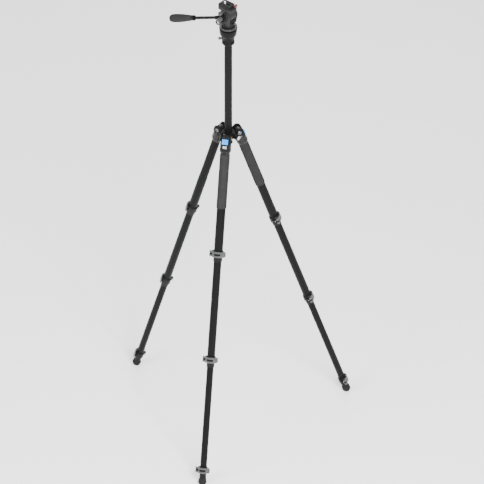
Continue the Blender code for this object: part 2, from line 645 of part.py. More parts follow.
def make_handle(head):
    """Pan handle in a frame whose X axis runs down the rod."""
    slope = Matrix.Rotation(pi, 4, "Z") @ Matrix.Rotation(HANDLE_SLOPE, 4, "Y")
    handle = empty("handle", head, (0, 0, TILT_HEIGHT), slope)
    line = -HANDLE_LINE
    profile = [(0.0033, -ROSETTE_FACE + GAP), (ROSETTE_RADIUS, -ROSETTE_FACE + GAP),
               (ROSETTE_RADIUS, -ROSETTE_BACK), (0.0033, -ROSETTE_BACK)]
    work = turned(profile, FINE, (0, 1, 0))
    axis = (0, line, HANDLE_RISE)
    end = GRIP_START + 0.0400
    profile = [(0, 0.0100), (SOCKET_RADIUS, 0.0100), (SOCKET_RADIUS, SOCKET_END),
               (ROD_RADIUS, SOCKET_END + 0.002),
               (ROD_RADIUS, end), (0, end)]
    joined(work, turned(profile, 12, (1, 0, 0), axis))
    part(work, "handle_rod", "cast_black", handle)
    bore = ROD_RADIUS + GAP
    inner = GRIP_START + 0.0400 + GAP
    profile = [(bore, GRIP_START), (0.0078, GRIP_START), (0.0078, GRIP_START + 0.0080),
               (0.0072, GRIP_START + 0.0080), (0.0095, 0.1375), (0.0113, 0.1580),
               (0.0120, 0.1800), (0.0116, 0.1945), (0.0092, 0.2020), (0, GRIP_END),
               (0, inner), (bore, inner)]
    grip = turned(profile, ROUND, (1, 0, 0), axis)
    part(grip, "handle_grip", "foam", handle)
    make_wing_screw(handle)


def make_wing_screw(handle):
    """Screw through the rosette, with a flat wing that has an eyelet."""
    start = 0.0125
    face = -ROSETTE_BACK + GAP
    profile = [(0, start), (0.0030, start), (0.0030, face), (WING_HUB_RADIUS, face),
               (WING_HUB_RADIUS, face + 0.0060), (0.0050, face + 0.0075), (0, face + 0.0075)]
    work = turned(profile, 12, (0, 1, 0))
    outline = arc((0, 0), 0.0062, 15, 165, 6) + arc((0.0, -0.0111), 0.0080, 190, 350, 8)
    wing = prism(outline, face + 0.0055, face + 0.0105, upright=True)
    eyelet = rod(0.0045, face, face + 0.020, (0, 1, 0), (0, 0, -0.0120), 12)
    cut(wing, eyelet)
    wing.data.transform(Matrix.Rotation(WING_TURN, 4, "Y"))
    joined(work, wing)
    part(work, "handle_wing_screw", "knob_grey", handle)


def main():
    """Build the whole tripod."""
    for leftover in list(bpy.data.objects):
        bpy.data.objects.remove(leftover)
    stand = empty("stand", None, (0, COLUMN_Y, 0))
    make_spider(stand)
    make_column_lock(stand)
    for name, azimuth, has_grip in LEGS:
        make_leg(stand, name, azimuth, has_grip)
    make_column(stand)
    head = empty("head", stand, (0, 0, 0), Matrix.Rotation(HEAD_YAW, 4, "Z"))
    make_head_base(head)
    make_pan_body(head)
    make_tilt_body(head)
    make_release_button(head)
    make_plate(head)
    make_clamp_knob(head)
    make_handle(head)


main()
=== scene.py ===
"""Looks of the tripod with its fluid head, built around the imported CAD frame.

Each leg piece is modelled in its leg's own frame (X outwards, Z up the leg, the
origin on the pivot) and each head piece in the head's frame (X towards the
lens, Y along the tilt axis).  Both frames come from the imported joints.  Every
length is in metres.  A profile lists (radius, height) points and an outline
(x, y) points, or (x, z) points where it stands upright.
"""

from math import cos, pi, radians, sin, sqrt

import bmesh
import bpy
import json
from mathutils import Matrix, Vector


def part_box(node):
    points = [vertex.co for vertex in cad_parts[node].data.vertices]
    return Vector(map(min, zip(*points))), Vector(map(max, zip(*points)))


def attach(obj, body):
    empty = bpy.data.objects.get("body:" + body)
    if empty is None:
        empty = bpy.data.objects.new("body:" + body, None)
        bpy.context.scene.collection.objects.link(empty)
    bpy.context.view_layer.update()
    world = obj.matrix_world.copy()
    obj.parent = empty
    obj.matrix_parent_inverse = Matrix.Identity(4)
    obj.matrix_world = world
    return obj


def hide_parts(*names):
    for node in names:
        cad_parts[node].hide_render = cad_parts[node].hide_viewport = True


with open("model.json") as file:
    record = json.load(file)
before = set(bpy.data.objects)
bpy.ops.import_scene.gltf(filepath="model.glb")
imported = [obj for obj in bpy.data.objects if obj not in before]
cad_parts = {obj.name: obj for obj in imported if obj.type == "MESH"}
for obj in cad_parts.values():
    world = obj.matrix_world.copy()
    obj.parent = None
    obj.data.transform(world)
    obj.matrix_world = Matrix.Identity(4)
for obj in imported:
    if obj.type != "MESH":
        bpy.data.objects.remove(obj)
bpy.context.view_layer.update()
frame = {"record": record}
RECORD = frame["record"]
JOINTS = {joint["name"]: joint for joint in RECORD["behaviour"]["joints"]}
BODY_OF = {node: body for body, nodes in RECORD["behaviour"]["bodies"].items() for node in nodes}

# ------------------------------------------------------------------ dimensions
ALONG_X = (1, 0, 0)
ALONG_Y = (0, 1, 0)
GAP = 0.0003                 # play between neighbouring parts
ROUND = 64                   # sides of a large turned shape
SMALL = 32                   # sides of a small turned shape
FINE = 96                    # sides of the head's large turned shapes
TUBE_RADII = (0.0125, 0.0110, 0.0095, 0.0080)
TUBE_WALL = 0.0012
TUBE_INSERT = 0.045          # how far a section reaches up into the one above
NECKED_RADIUS = 0.0120       # upper tube where a foam grip can sit
NECK_START = -0.2074
UPPER_TUBE_TOP = -0.0244
FOAM_RADIUS = 0.01425
FOAM_LOW = -0.2064
FOAM_HIGH = -0.0484
LOCK_HEIGHTS = (-0.3402, -0.6509, -0.9774)
COLLAR_TOP = 0.0092
COLLAR_SKIRT = -0.0105       # below it the collar narrows to the next section
COLLAR_BOTTOM = -0.0225
COLLAR_STEP = -0.0092        # where its bore narrows
COLLAR_WALL = 0.0026
SLIT_ANGLE = -99.0
BAND_TOP = 0.0080
BAND_INNER = 0.0036          # this and the next three: beyond the tube's surface
BAND_OUTER = 0.0060
TAB_TIP = 0.0106
PIN_OFFSET = 0.0086
PIN_ANGLE = -82.0
PIN_RADIUS = 0.00155
LOBE_RADIUS = 0.0040
LUG_RADIUS = 0.0033
LUG_HALF_HEIGHT = 0.0029
SLOT_HALF_HEIGHT = 0.00325
WINDOW_HALF_WIDTH = 0.0090
NOTCH_OFFSET = 0.0024
BOSS_ANGLE = -116.0
BOSS_REACH = 0.0088
BOSS_HALF_WIDTH = 0.0034
BOSS_HALF_HEIGHT = 0.0058
FOOT_RADIUS = 0.0118
FOOT_FLAT_RADIUS = 0.0045
FOOT_TOP = -1.0003
BOTTOM_TUBE_END = -1.0050
BOTTOM_TUBE_LENGTH = 0.345
SPLAY = radians(18.6)
PIVOT_RADIUS = 0.0283
PIVOT_HEIGHT = 0.970
HUB_RADIUS = 0.0250
HUB_BOTTOM = 0.9586
HUB_TOP = 0.9735
SLOT_FLOOR = 0.0186
SLOT_HALF_WIDTH = 0.0105
CHEEK_HALF_WIDTH = 0.0150
EAR_RADIUS = 0.0132
TONGUE_RADIUS = 0.0088
TONGUE_HALF_WIDTH = 0.0102
LATCH_BOTTOM = -0.0185
BOLT_HEAD_RADIUS = 0.0058
KNOB_AZIMUTH = 330.0         # degrees from X, as all azimuths here
COLUMN_RADIUS = 0.0110
COLUMN_BORE_RADIUS = 0.0095
HEAD_SEAT = 1.2847
BOWL_TOP = 1.3290
FLANGE_RADIUS = 0.0256
FLANGE_TOP = 1.3300
TILT_HEIGHT = 1.3690
DRUM_RADIUS = 0.0195
YOKE_INNER = 0.0126
YOKE_OUTER = 0.0170
ROSETTE_RADIUS = 0.0130
ROSETTE_FACE = -0.0215
CLAMP_BOTTOM = 1.3888
CLAMP_TOP = 1.3996
CLAMP_BACK = -0.0205
CLAMP_FRONT = 0.0240
CLAMP_CENTRE = -0.0054
CLAMP_HALF_WIDTH = 0.0155
CLAMP_SIDE = CLAMP_CENTRE - CLAMP_HALF_WIDTH
CLAMP_KNOB_X = 0.0030
ABOVE_HEAD = 1.42            # cutters reach up to here
LEDGE_START = 0.0164
LEDGE_TOP = 1.3974
CHANNEL_HALF_WIDTH = 0.0110
CHANNEL_FLOOR = 1.3955
PLATE_MIDDLE = -0.0022
PLATE_HALF_LENGTH = 0.0183
PLATE_HALF_WIDTH = 0.0150
PLATE_TOP = 1.4060
PLATE_BOTTOM = 1.4000
BUTTON_PLACE = (0.0212, 0.0060, 0)
SLOT_MIDDLE = -0.0005
SCREW_PLACE = -0.0072
HANDLE_SLOPE = radians(24.8)
HANDLE_AXIS = (0, 0.0283, 0.0030)
DISC_FACE = 0.0300
ROD_RADIUS = 0.0043
GRIP_START = 0.1085
ROD_END = GRIP_START + 0.0400
GRIP_END = 0.2045
WING_TURN = radians(-49)
PAN_LOCK_AZIMUTH = 228.0
SMOOTH_BELOW = radians(35)   # edges flatter than this are shaded smooth
BEVEL_ABOVE = radians(38)    # edges sharper than this are rounded
OWN_PLACE = "own_place"      # each point's place in its piece's own frame

# ------------------------------------------------------------- camera and lights
VIEW_AZIMUTH = radians(12)
VIEW_ELEVATION = radians(35.26)
VIEW_WIDTH = 1.352           # metres across the picture
VIEW_HEIGHT = 1.054          # point on the column that the next two count from
VIEW_RIGHT = 0.0383
VIEW_DOWN = 0.377
LENS = 1200                  # this and the next in millimetres
SENSOR = 36
CLIP_START = 10
CLIP_END = 100
FLOOR_SIZE = 60
FLOOR_HEIGHT = -0.0004
WORLD_STRENGTH = 1.15
LIGHTS_AIM = (0, 0, 0.8)
LIGHTS = (("key", (1.7, -3.0, 3.4), 1.8, 520),     # name, place, size, watts
          ("fill", (-2.2, -2.8, 3.0), 2.4, 190),
          ("rim", (-0.6, 3.0, 2.8), 1.6, 45))


# -------------------------------------------------------------------- materials
def look(name, colour, roughness, metallic, grain, depth,
         mottle=0.12, stretch=(1, 1, 1), gloss=0.5):
    """Material with a broad mottle, a fine grain in its roughness, and a bump.

    grain is the noise scale, depth the bump's strength, mottle the spread of
    the colour and gloss the specular level.  The textures lie in each piece's
    own frame, kept as a vector on every point.
    """
    material = bpy.data.materials.new(name)
    material.use_nodes = True
    tree = material.node_tree
    shader = tree.nodes["Principled BSDF"]
    shader.inputs["Metallic"].default_value = metallic
    shader.inputs["Specular IOR Level"].default_value = gloss
    coordinates = tree.nodes.new("ShaderNodeAttribute")
    coordinates.attribute_name = OWN_PLACE
    mapping = tree.nodes.new("ShaderNodeMapping")
    mapping.inputs["Scale"].default_value = stretch
    tree.links.new(coordinates.outputs["Vector"], mapping.inputs["Vector"])
    broad = noise(tree, mapping, grain / 14, 3)
    fine = noise(tree, mapping, grain, 5)
    mottle_colour(tree, shader, broad, colour, mottle)
    grain_surface(tree, shader, fine, roughness, depth)
    return material


def noise(tree, mapping, scale, detail):
    """Noise texture in the piece's own coordinates."""
    texture = tree.nodes.new("ShaderNodeTexNoise")
    texture.inputs["Scale"].default_value = scale
    texture.inputs["Detail"].default_value = detail
    tree.links.new(mapping.outputs["Vector"], texture.inputs["Vector"])
    return texture


def mottle_colour(tree, shader, broad, colour, mottle):
    """Base colour that wanders between a darker and a lighter shade."""
    shade = tree.nodes.new("ShaderNodeMix")
    shade.data_type = "RGBA"
    tree.links.new(broad.outputs["Fac"], shade.inputs["Factor"])
    darker, lighter, mixed = shade.inputs[6], shade.inputs[7], shade.outputs[2]
    darker.default_value = (*(value * (1 - mottle) for value in colour), 1)
    lighter.default_value = (*(value * (1 + mottle) for value in colour), 1)
    tree.links.new(mixed, shader.inputs["Base Color"])


def grain_surface(tree, shader, fine, roughness, depth):
    """Roughness that varies by 18 % either way, and a bump, from one fine grain."""
    spread = tree.nodes.new("ShaderNodeMapRange")
    spread.inputs["From Min"].default_value = 0.3
    spread.inputs["From Max"].default_value = 0.7
    spread.inputs["To Min"].default_value = roughness * 0.82
    spread.inputs["To Max"].default_value = min(1.0, roughness * 1.18)
    tree.links.new(fine.outputs["Fac"], spread.inputs["Value"])
    tree.links.new(spread.outputs["Result"], shader.inputs["Roughness"])
    bump = tree.nodes.new("ShaderNodeBump")
    bump.inputs["Strength"].default_value = depth
    bump.inputs["Distance"].default_value = 0.0003
    tree.links.new(fine.outputs["Fac"], bump.inputs["Height"])
    tree.links.new(bump.outputs["Normal"], shader.inputs["Normal"])


GRAIN_ALONG = (1, 1, 0.03)   # stretches a grain along a tube
LOOKS = {
    "tube": look("tube_satin_black", (0.0056, 0.0056, 0.0060), 0.38, 0.0, 900, 0.12,
                 mottle=0.25, stretch=GRAIN_ALONG, gloss=0.05),
    "cast": look("cast_powder_black", (0.0042, 0.0042, 0.0044), 0.38, 0.0, 2600, 0.45,
                 mottle=0.15, gloss=0.06),
    "shoulder": look("shoulder_satin_black", (0.0062, 0.0062, 0.0065), 0.20, 0.0, 1500, 0.14,
                     gloss=0.20),
    "plastic": look("moulded_black", (0.0040, 0.0040, 0.0042), 0.42, 0.0, 1800, 0.30, gloss=0.12),
    "sleeve": look("collar_charcoal", (0.0070, 0.0070, 0.0072), 0.42, 0.0, 2800, 0.14,
                   mottle=0.15, gloss=0.10),
    "lever": look("lever_satin_grey", (0.082, 0.082, 0.084), 0.34, 0.60, 1400, 0.12,
                  mottle=0.06, stretch=(1, 1, 0.2), gloss=0.30),
    "steel": look("turned_steel", (0.55, 0.55, 0.56), 0.24, 1.0, 1200, 0.08,
                  mottle=0.05, stretch=(1, 1, 6)),
    "bolt": look("bolt_dark_steel", (0.13, 0.13, 0.135), 0.30, 1.0, 1200, 0.10, mottle=0.06),
    "blue": look("latch_blue", (0.004, 0.225, 0.62), 0.32, 0.0, 1500, 0.08,
                 mottle=0.06, gloss=0.12),
    "red": look("button_red", (0.080, 0.021, 0.027), 0.34, 0.0, 1500, 0.08,
                mottle=0.06, gloss=0.20),
    "foam": look("grip_foam", (0.0185, 0.0185, 0.0190), 0.93, 0.0, 1500, 1.0,
                 mottle=0.25, gloss=0.06),
    "rubber": look("foot_rubber", (0.0120, 0.0120, 0.0122), 0.78, 0.0, 1300, 0.7,
                   mottle=0.15, gloss=0.08),
    "plate": look("plate_powder_black", (0.0095, 0.0095, 0.0098), 0.36, 0.0, 2600, 0.5,
                  mottle=0.15, gloss=0.07),
    "body": look("head_powder_grey", (0.0180, 0.0180, 0.0184), 0.40, 0.0, 2600, 0.5,
                 mottle=0.15, gloss=0.07),
    # grip ring's black, deepened well below the other blacks as painted shade of the gap under the
    # flange
    "band": look("grip_ring_black_painted_shade", (0.0014, 0.0014, 0.0015), 0.60, 0.0, 1800, 0.3,
                 mottle=0.15, gloss=0.03),
    "knob": look("knob_satin_grey", (0.036, 0.036, 0.037), 0.38, 0.1, 1800, 0.25, gloss=0.25),
    "ring": look("pan_ring_grey", (0.022, 0.022, 0.0225), 0.34, 0.1, 1500, 0.12,
                 mottle=0.06, gloss=0.14),
    "tick": look("tick_pale", (0.40, 0.40, 0.40), 0.60, 0.0, 1500, 0.05, mottle=0.05),
}


# ----------------------------------------------------------------- small shapes
def polar(radius, degrees):
    """Point at a distance and an angle from the middle."""
    return (radius * cos(radians(degrees)), radius * sin(radians(degrees)))


def arc(centre, radius, start, end, steps):
    """Points on an arc, angles in degrees, both ends included."""
    points = []
    for index in range(steps + 1):
        x, y = polar(radius, start + (end - start) * index / steps)
        points.append((centre[0] + x, centre[1] + y))
    return points


def solid(mesh_data):
    """Close a bmesh into an object with its faces pointing out."""
    bmesh.ops.recalc_face_normals(mesh_data, faces=mesh_data.faces)
    mesh = bpy.data.meshes.new("work")
    mesh_data.to_mesh(mesh)
    mesh_data.free()
    work = bpy.data.objects.new("work", mesh)
    bpy.context.collection.objects.link(work)
    return work


def turned(profile, sides=ROUND, axis=(0, 0, 1), centre=(0, 0, 0)):
    """Turn a closed profile of (radius, height) points about an axis."""
    mesh_data = bmesh.new()
    turn_frame = Vector(axis).to_track_quat("Z", "Y").to_matrix()
    rings = []
    for radius, height in profile:
        ring = []
        for index in range(sides if radius > 0 else 1):
            angle = 2 * pi * index / sides
            point = Vector((radius * cos(angle), radius * sin(angle), height))
            ring.append(mesh_data.verts.new(Vector(centre) + turn_frame @ point))
        rings.append(ring)
    for index, ring in enumerate(rings):
        join_rings(mesh_data, ring, rings[(index + 1) % len(rings)])
    return solid(mesh_data)


def join_rings(mesh_data, ring, following):
    """Fill between two rings of a turned shape; one may be a single point."""
    sides = max(len(ring), len(following))
    if sides == 1:
        return
    for side in range(sides):
        ahead = (side + 1) % sides
        corners = [ring[side % len(ring)], ring[ahead % len(ring)]]
        corners += [following[ahead % len(following)], following[side % len(following)]]
        mesh_data.faces.new(list(dict.fromkeys(corners)))


def eased(points, radius=0.0004, steps=3):
    """Closed or open profile with each corner rounded off."""
    result = []
    count = len(points)
    for index in range(count):
        here = Vector(points[index])
        before = Vector(points[index - 1]) - here
        after = Vector(points[(index + 1) % count]) - here
        if here.x == 0 or before.length < 1e-9 or after.length < 1e-9:
            result.append(tuple(here))
            continue
        reach = min(radius, before.length * 0.45, after.length * 0.45)
        start = here + before.normalized() * reach
        end = here + after.normalized() * reach
        for step in range(steps + 1):
            share = step / steps
            inner = (1 - share) ** 2 * start + 2 * share * (1 - share) * here + share ** 2 * end
            result.append(tuple(inner))
    return result


def rod(radius, low, high, axis=(0, 0, 1), centre=(0, 0, 0), sides=SMALL, ease=0.0003):
    """Cylinder with eased ends from low to high along an axis."""
    profile = [(0, low), (radius, low), (radius, high), (0, high)]
    return turned(eased(profile, ease), sides, axis, centre)


def prism(outline, low, high, upright=False):
    """Extrude an outline along Z, or an (x, z) outline along Y if upright."""
    mesh_data = bmesh.new()
    loops = []
    for level in (low, high):
        loop = []
        for first, second in outline:
            place = (first, level, second) if upright else (first, second, level)
            loop.append(mesh_data.verts.new(place))
        loops.append(loop)
    mesh_data.faces.new(loops[0])
    mesh_data.faces.new(loops[1])
    for index in range(len(outline)):
        ahead = (index + 1) % len(outline)
        mesh_data.faces.new((loops[0][index], loops[0][ahead], loops[1][ahead], loops[1][index]))
    return solid(mesh_data)


def knurled(radius, depth, count, centre=(0.0, 0.0)):
    """Outline with square teeth, two points on each tooth and two between."""
    outline = []
    for index in range(count):
        x, y = polar(radius if index % 4 < 2 else radius - depth, 360 * index / count)
        outline.append((centre[0] + x, centre[1] + y))
    return outline


def hexagon(radius, centre=(0.0, 0.0)):
    """Outline of a hex socket."""
    corners = [polar(radius, 60 * index) for index in range(6)]
    return [(centre[0] + x, centre[1] + y) for x, y in corners]


def block(low, high):
    """Box between two corners."""
    outline = [(low[0], low[1]), (high[0], low[1]), (high[0], high[1]), (low[0], high[1])]
    return prism(outline, low[2], high[2])


def rounded_outline(half_x, half_y, corner, steps=8, centre=(0.0, 0.0)):
    """Rectangle with round corners."""
    points = []
    for sign_x, sign_y, start in ((1, 1, 0), (-1, 1, 90), (-1, -1, 180), (1, -1, 270)):
        middle = (centre[0] + sign_x * (half_x - corner), centre[1] + sign_y * (half_y - corner))
        points += arc(middle, corner, start, start + 90, steps)
    return points


def applied(work):
    """Make the object's modifiers part of its mesh."""
    bpy.context.view_layer.update()
    depsgraph = bpy.context.evaluated_depsgraph_get()
    mesh = bpy.data.meshes.new_from_object(work.evaluated_get(depsgraph))
    work.modifiers.clear()
    work.data = mesh
    return work


def bevelled(work, width=0.0004, segments=3):
    """Round every sharp edge."""
    modifier = work.modifiers.new("bevel", "BEVEL")
    modifier.width = width
    modifier.segments = segments
    modifier.limit_method = "ANGLE"
    modifier.angle_limit = BEVEL_ABOVE
    return applied(work)


def cut(work, *tools):
    """First solid without the others."""
    for tool in tools:
        modifier = work.modifiers.new("cut", "BOOLEAN")
        modifier.operation = "DIFFERENCE"
        modifier.solver = "EXACT"
        modifier.object = tool
        applied(work)
        bpy.data.objects.remove(tool)
    return work


def merged(first, *others):
    """One object from several closed shells."""
    mesh_data = bmesh.new()
    mesh_data.from_mesh(first.data)
    for work in others:
        mesh_data.from_mesh(work.data)
        bpy.data.objects.remove(work)
    mesh_data.to_mesh(first.data)
    mesh_data.free()
    return first


def moved(work, matrix):
    """Shift or turn a working solid's mesh."""
    work.data.transform(matrix)
    return work


def around(work, degrees):
    """Turn a working solid about its frame's Z axis."""
    return moved(work, Matrix.Rotation(radians(degrees), 4, "Z"))


def dress(work, name, material, place):
    """Give a piece its name, its material and its place."""
    work.name = name
    work.data.materials.clear()
    work.data.materials.append(LOOKS[material])
    work.data.shade_smooth()
    work.data.set_sharp_from_angle(angle=SMOOTH_BELOW)
    keep_own_place(work.data)
    return moved(work, place)


def keep_own_place(mesh):
    """Store each point's place in the piece's own frame, for the textures."""
    own = mesh.attributes.new(OWN_PLACE, "FLOAT_VECTOR", "POINT")
    for point, entry in zip(mesh.vertices, own.data):
        entry.vector = point.co


def show(work, node, material, place):
    """Let a detailed piece stand for a CAD node."""
    dress(work, node + "_look", material, place)
    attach(work, BODY_OF[node])
    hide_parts(node)
    return work


def trim(work, name, node, material, place):
    """Small extra piece that rides with a CAD node."""
    dress(work, name, material, place)
    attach(work, BODY_OF[node])
    return work


# ----------------------------------------------------------------- shared frames
def axes_matrix(x_axis, y_axis, z_axis, origin):
    """Matrix from three axes and an origin."""
    rotation = Matrix((x_axis, y_axis, z_axis)).transposed().to_4x4()
    return Matrix.Translation(origin) @ rotation


def leg_matrix(name):
    """Frame of a leg: X outwards, Z up the leg, the origin on its pivot."""
    outward = Vector(JOINTS[name + "_latch_slide"]["axis"]).normalized()
    up = -Vector(JOINTS[name + "_middle_slide"]["axis"]).normalized()
    return axes_matrix(outward, up.cross(outward), up, JOINTS[name + "_leg_fold"]["pos_m"])


TILT_AXIS = Vector(JOINTS["tilt"]["axis"]).normalized()
COLUMN_AXIS = Vector((*JOINTS["tilt"]["pos_m"][:2], 0))
UP = Vector((0, 0, 1))
STAND = Matrix.Translation(COLUMN_AXIS)
HEAD = axes_matrix(TILT_AXIS.cross(UP), TILT_AXIS, UP, COLUMN_AXIS)
SLOPE = Matrix.Rotation(pi, 4, "Z") @ Matrix.Rotation(HANDLE_SLOPE, 4, "Y")
HANDLE = HEAD @ Matrix.Translation((0, 0, TILT_HEIGHT)) @ SLOPE
PAN_LOCK_AXIS = Vector((*polar(1, PAN_LOCK_AZIMUTH), 0))
PAN_LOCK_PLACE = Vector((0, 0, JOINTS["pan_lock_turn"]["pos_m"][2]))
CLAMP_KNOB_PLACE = (CLAMP_KNOB_X, 0, JOINTS["plate_knob_turn"]["pos_m"][2])
LEGS = {"front": 270.0, "right": 30.0, "left": 150.0}      # azimuths


# ------------------------------------------------------------------------ spider
def make_spider():
    """Hub, three pairs of ears and the lock's boss, as one casting."""
    bore = COLUMN_RADIUS + GAP
    profile = [(bore, HUB_BOTTOM), (HUB_RADIUS - 0.001, HUB_BOTTOM),
               (HUB_RADIUS, HUB_BOTTOM + 0.002), (HUB_RADIUS, HUB_TOP - 0.0025),
               (HUB_RADIUS - 0.003, HUB_TOP - 0.0008),
               (0.0158, HUB_TOP - 0.0008), (0.0152, HUB_TOP), (bore, HUB_TOP)]
    work = turned(eased(profile, 0.0008))
    for azimuth in LEGS.values():
        slot = block((SLOT_FLOOR, -SLOT_HALF_WIDTH, HUB_BOTTOM - 0.01),
                     (0.060, SLOT_HALF_WIDTH, HUB_TOP + 0.01))
        cut(work, around(slot, azimuth))
    bevelled(work, 0.0004, 2)
    shells = []
    cheeks = ((SLOT_HALF_WIDTH, CHEEK_HALF_WIDTH), (-CHEEK_HALF_WIDTH, -SLOT_HALF_WIDTH))
    for azimuth in LEGS.values():
        for low, high in cheeks:
            ear = bevelled(prism(ear_outline(), low, high, upright=True), 0.0007)
            shells.append(around(ear, azimuth))
        rib = block((0.0125, -0.0100, HUB_BOTTOM + 0.001), (SLOT_FLOOR, 0.0100, HUB_TOP - 0.0010))
        shells.append(around(bevelled(rib, 0.0005), azimuth))
    knob_height = JOINTS["column_knob_turn"]["pos_m"][2]
    profile = [(0.0034, 0.0150), (0.0072, 0.0150), (0.0072, 0.0262), (0.0034, 0.0262)]
    boss = turned(eased(profile, 0.0006), SMALL, ALONG_X, (0, 0, knob_height))
    shells.append(around(boss, KNOB_AZIMUTH))
    show(merged(work, *shells), "spider", "cast", STAND)


def ear_outline():
    """Side view of an ear: round about the pivot and blended into the hub."""
    outline = [(0.0135, HUB_TOP - 0.001), (0.0135, HUB_BOTTOM + 0.001)]
    return outline + arc((PIVOT_RADIUS, PIVOT_HEIGHT), EAR_RADIUS, -95, 115, 36)


def make_column_knob():
    """Lobed knob with a recessed cap."""
    lobes = []
    for index in range(120):
        angle = 360 * index / 120
        lobes.append(polar(0.0083 + 0.0005 * cos(radians(8 * angle)), angle))
    head = bevelled(prism(lobes, 0.0272, 0.0396), 0.0006)
    neck = rod(0.0055, 0.0266, 0.0280)
    screw = rod(0.0029, 0.0135, 0.0300)
    place = STAND @ Matrix.Translation((0, 0, JOINTS["column_knob_turn"]["pos_m"][2]))
    place = place @ Matrix.Rotation(radians(KNOB_AZIMUTH), 4, "Z")
    place = place @ Matrix.Rotation(radians(90), 4, "Y")
    show(merged(head, neck, screw), "column_lock_knob", "plastic", place)
    profile = [(0, 0.0390), (0.0064, 0.0390), (0.0064, 0.0398), (0.0058, 0.0401), (0.0040, 0.0401),
               (0.0036, 0.0397), (0, 0.0397)]
    cap = turned(eased(profile, 0.0002), SMALL)
    trim(cap, "column_knob_cap", "column_lock_knob", "steel", place)


# -------------------------------------------------------------------------- legs
def make_leg(name):
    """Every piece of one leg."""
    place = leg_matrix(name)
    make_shoulder(name, place)
    make_pivot_bolt(name, place)
    if name != "left":
        make_foam_grip(name, place)
    make_tubes(name, place)
    for number, height in enumerate(LOCK_HEIGHTS):
        upper, lower = TUBE_RADII[number:number + 2]
        suffix = "_" + str(number + 1)
        lock_place = place @ Matrix.Translation((0, 0, height))
        make_collar(name, suffix, upper, lower, lock_place)
        make_lever(name, suffix, upper, lock_place)
    make_foot(name, place)


def make_shoulder(name, place):
    """Tongue between the ears, socket round the tube, the latch set into it, and a steel patch on
    its front as painted highlight.
    """
    outline = arc((0, 0), TONGUE_RADIUS, 55, 180, 20)
    outline += [(-TONGUE_RADIUS, -0.0230), (0.0108, -0.0230), (0.0108, -0.0008), (0.0085, 0.0030)]
    tongue = bevelled(prism(outline, -TONGUE_HALF_WIDTH, TONGUE_HALF_WIDTH, upright=True), 0.0005)
    bore = NECKED_RADIUS + GAP
    top = -EAR_RADIUS - 0.0008
    floor = UPPER_TUBE_TOP + GAP
    end = FOAM_HIGH + GAP
    profile = [(0, top), (0.0138, top), (0.0154, top - 0.0024), (0.0158, top - 0.0060),
               (0.0158, -0.0290), (0.0163, -0.0350), (0.0163, -0.0385), (0.0153, -0.0392),
               (0.0153, -0.0402), (0.0158, -0.0408), (0.0150, -0.0424), (0.0134, -0.0430),
               (0.0134, end), (bore, end), (bore, floor), (0, floor)]
    socket = turned(eased(profile, 0.0005))
    pocket = block((0.0108, -TONGUE_HALF_WIDTH, LATCH_BOTTOM - GAP),
                   (0.030, TONGUE_HALF_WIDTH, 0.010))
    cut(socket, pocket)
    bevelled(socket, 0.0003, 2)
    show(merged(socket, tongue), name + "_leg_shoulder", "shoulder", place)
    make_latch(name, place)
    # steel patch on the socket's front, shaped as a blank badge: a painted highlight on the
    # shoulder
    outline = arc((0, 0), 0.0161, -20, 20, 10) + arc((0, 0), 0.0150, 20, -20, 10)
    highlight_patch = bevelled(prism(outline, -0.0292, -0.0226), 0.0003, 2)
    trim(highlight_patch, name + "_shoulder_highlight_patch", name + "_leg_shoulder", "steel", place)


def make_latch(name, place):
    """Blue pull tab with grip grooves, set in a black slide."""
    outline = [(0.0111, LATCH_BOTTOM), (0.0111, -0.0010), (0.0120, 0.0004), (0.0131, -0.0008),
               (0.0134, -0.0100), (0.0137, -0.0150), (0.0137, LATCH_BOTTOM)]
    slide = bevelled(prism(outline, -0.0096, 0.0096, upright=True), 0.0004)
    trim(slide, name + "_latch_slide", name + "_angle_latch", "cast", place)
    outline = [(0.0125, -0.0170), (0.0125, -0.0030), (0.0136, -0.0026), (0.0142, -0.0034),
               (0.0146, -0.0100), (0.0172, -0.0142), (0.0172, -0.0162), (0.0166, -0.0170)]
    tab = prism(outline, -0.0086, 0.0086, upright=True)
    grooves = []
    for height in (-0.0052, -0.0072, -0.0092):
        grooves.append(block((0.0138, -0.0070, height - 0.0004), (0.0200, 0.0070, height + 0.0004)))
    show(bevelled(cut(tab, *grooves), 0.0004), name + "_angle_latch", "blue", place)


def make_pivot_bolt(name, place):
    """Bolt with a flanged head and a hex socket at each end."""
    inner = CHEEK_HALF_WIDTH + GAP
    outer = inner + 0.0019
    profile = [(0, -outer), (0.0046, -outer), (BOLT_HEAD_RADIUS, -outer + 0.0010),
               (BOLT_HEAD_RADIUS, -inner), (0.0030, -inner), (0.0030, inner),
               (BOLT_HEAD_RADIUS, inner), (BOLT_HEAD_RADIUS, outer - 0.0010),
               (0.0046, outer), (0, outer)]
    work = turned(eased(profile, 0.0002), 48, ALONG_Y)
    for low, high in ((outer - 0.0014, outer + 0.001), (-outer - 0.001, -outer + 0.0014)):
        cut(work, prism(hexagon(0.0026), low, high, upright=True))
    show(work, name + "_pivot_bolt", "bolt", place)


def make_foam_grip(name, place):
    """Foam sleeve with rounded ends and a slight ripple along it."""
    inner = NECKED_RADIUS + GAP
    low, high = FOAM_LOW, FOAM_HIGH
    profile = [(inner, low), (FOAM_RADIUS - 0.0006, low)]
    for index in range(25):
        share = index / 24
        swell = 0.00012 * sin(share * 5 * pi)
        height = low + 0.0012 + (high - low - 0.0024) * share
        profile.append((FOAM_RADIUS - 0.00015 + swell, height))
    profile += [(FOAM_RADIUS - 0.0006, high), (inner, high)]
    work = show(turned(eased(profile, 0.0006)), name + "_foam_grip", "foam", place)


